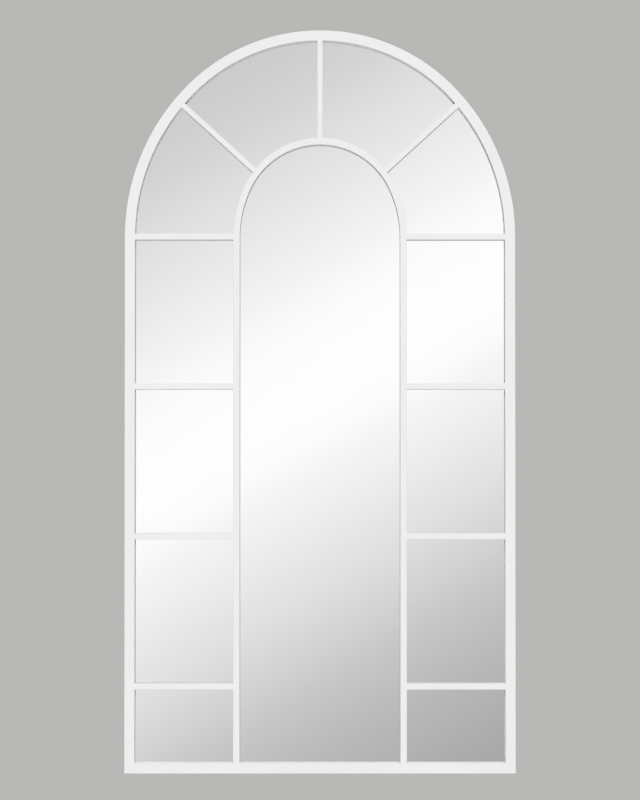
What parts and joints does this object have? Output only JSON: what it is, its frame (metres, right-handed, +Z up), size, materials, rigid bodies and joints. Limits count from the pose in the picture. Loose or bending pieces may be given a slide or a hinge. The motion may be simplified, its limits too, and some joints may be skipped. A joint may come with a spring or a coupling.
{
  "type": "arched wall mirror",
  "caption": "Tall arched window-style wall mirror: white welded steel frame with an inner arch, level bars and fanned spokes over one mirror sheet, held in from behind by turn buttons.",
  "frame": {"origin": "midway between the round entries of the two hanging keyholes, in the plane of the frame's rear face", "axes": "+X to the viewer's right, +Y backwards to the wall, +Z up"},
  "size_m": [0.95, 0.03, 1.8084],
  "materials": {
    "white_powder_coat": "matt white powder coat with a fine even texture",
    "silvered_glass": "clear float glass, silvered behind, with ground and polished edges",
    "white_foam_tape": "closed-cell foam tape",
    "white_seal": "smooth white silicone",
    "black_rubber": "matt hard rubber",
    "fibreboard": "raw medium-density fibreboard",
    "zinc_plate": "bright zinc-plated pressed steel",
    "screw_steel": "zinc-plated steel with a hexagon head",
    "clear_rubber": "translucent grey bumper rubber"
  },
  "bodies": {
    "frame": {"outer_arch": "white_powder_coat", "left_stile": "white_powder_coat", "right_stile": "white_powder_coat", "bottom_rail": "white_powder_coat", "inner_arch": "white_powder_coat", "inner_left_upright": "white_powder_coat", "inner_right_upright": "white_powder_coat", "left_rung_1": "white_powder_coat", "right_rung_1": "white_powder_coat", "left_rung_2": "white_powder_coat", "right_rung_2": "white_powder_coat", "left_rung_3": "white_powder_coat", "right_rung_3": "white_powder_coat", "left_rung_4": "white_powder_coat", "right_rung_4": "white_powder_coat", "left_spoke": "white_powder_coat", "centre_spoke": "white_powder_coat", "right_spoke": "white_powder_coat", "inner_frame_tape": "white_foam_tape", "rung_tapes": "white_foam_tape", "spoke_tapes": "white_foam_tape", "mirror_glass": "silvered_glass", "edge_seal": "white_seal", "setting_blocks": "black_rubber", "backing_board": "fibreboard", "turn_button_screws": "screw_steel", "wall_bumpers": "clear_rubber"},
    "turn_button_01": {"turn_button_01": "zinc_plate"},
    "turn_button_02": {"turn_button_02": "zinc_plate"},
    "turn_button_03": {"turn_button_03": "zinc_plate"},
    "turn_button_04": {"turn_button_04": "zinc_plate"},
    "turn_button_05": {"turn_button_05": "zinc_plate"},
    "turn_button_06": {"turn_button_06": "zinc_plate"},
    "turn_button_07": {"turn_button_07": "zinc_plate"},
    "turn_button_08": {"turn_button_08": "zinc_plate"},
    "turn_button_09": {"turn_button_09": "zinc_plate"},
    "turn_button_10": {"turn_button_10": "zinc_plate"},
    "turn_button_11": {"turn_button_11": "zinc_plate"}
  },
  "joints": [
    {"name": "turn_button_01_pivot", "type": "hinge", "parent": "frame", "child": "turn_button_01", "pos_m": [-0.4625, 0.0009, -1.0125], "axis": [0, 1, 0], "continuous": true},
    {"name": "turn_button_02_pivot", "type": "hinge", "parent": "frame", "child": "turn_button_02", "pos_m": [-0.4625, 0.0009, -0.5775], "axis": [0, 1, 0], "continuous": true},
    {"name": "turn_button_03_pivot", "type": "hinge", "parent": "frame", "child": "turn_button_03", "pos_m": [-0.4625, 0.0009, -0.1425], "axis": [0, 1, 0], "continuous": true},
    {"name": "turn_button_04_pivot", "type": "hinge", "parent": "frame", "child": "turn_button_04", "pos_m": [-0.39402, 0.0009, 0.33058], "axis": [0, 1, 0], "continuous": true},
    {"name": "turn_button_05_pivot", "type": "hinge", "parent": "frame", "child": "turn_button_05", "pos_m": [0, 0.0009, 0.566], "axis": [0, 1, 0], "continuous": true},
    {"name": "turn_button_06_pivot", "type": "hinge", "parent": "frame", "child": "turn_button_06", "pos_m": [0.39402, 0.0009, 0.33058], "axis": [0, 1, 0], "continuous": true},
    {"name": "turn_button_07_pivot", "type": "hinge", "parent": "frame", "child": "turn_button_07", "pos_m": [0.4625, 0.0009, -0.1425], "axis": [0, 1, 0], "continuous": true},
    {"name": "turn_button_08_pivot", "type": "hinge", "parent": "frame", "child": "turn_button_08", "pos_m": [0.4625, 0.0009, -0.5775], "axis": [0, 1, 0], "continuous": true},
    {"name": "turn_button_09_pivot", "type": "hinge", "parent": "frame", "child": "turn_button_09", "pos_m": [0.4625, 0.0009, -1.0125], "axis": [0, 1, 0], "continuous": true},
    {"name": "turn_button_10_pivot", "type": "hinge", "parent": "frame", "child": "turn_button_10", "pos_m": [0.2375, 0.0009, -1.2175], "axis": [0, 1, 0], "continuous": true},
    {"name": "turn_button_11_pivot", "type": "hinge", "parent": "frame", "child": "turn_button_11", "pos_m": [-0.2375, 0.0009, -1.2175], "axis": [0, 1, 0], "continuous": true}
  ]
}
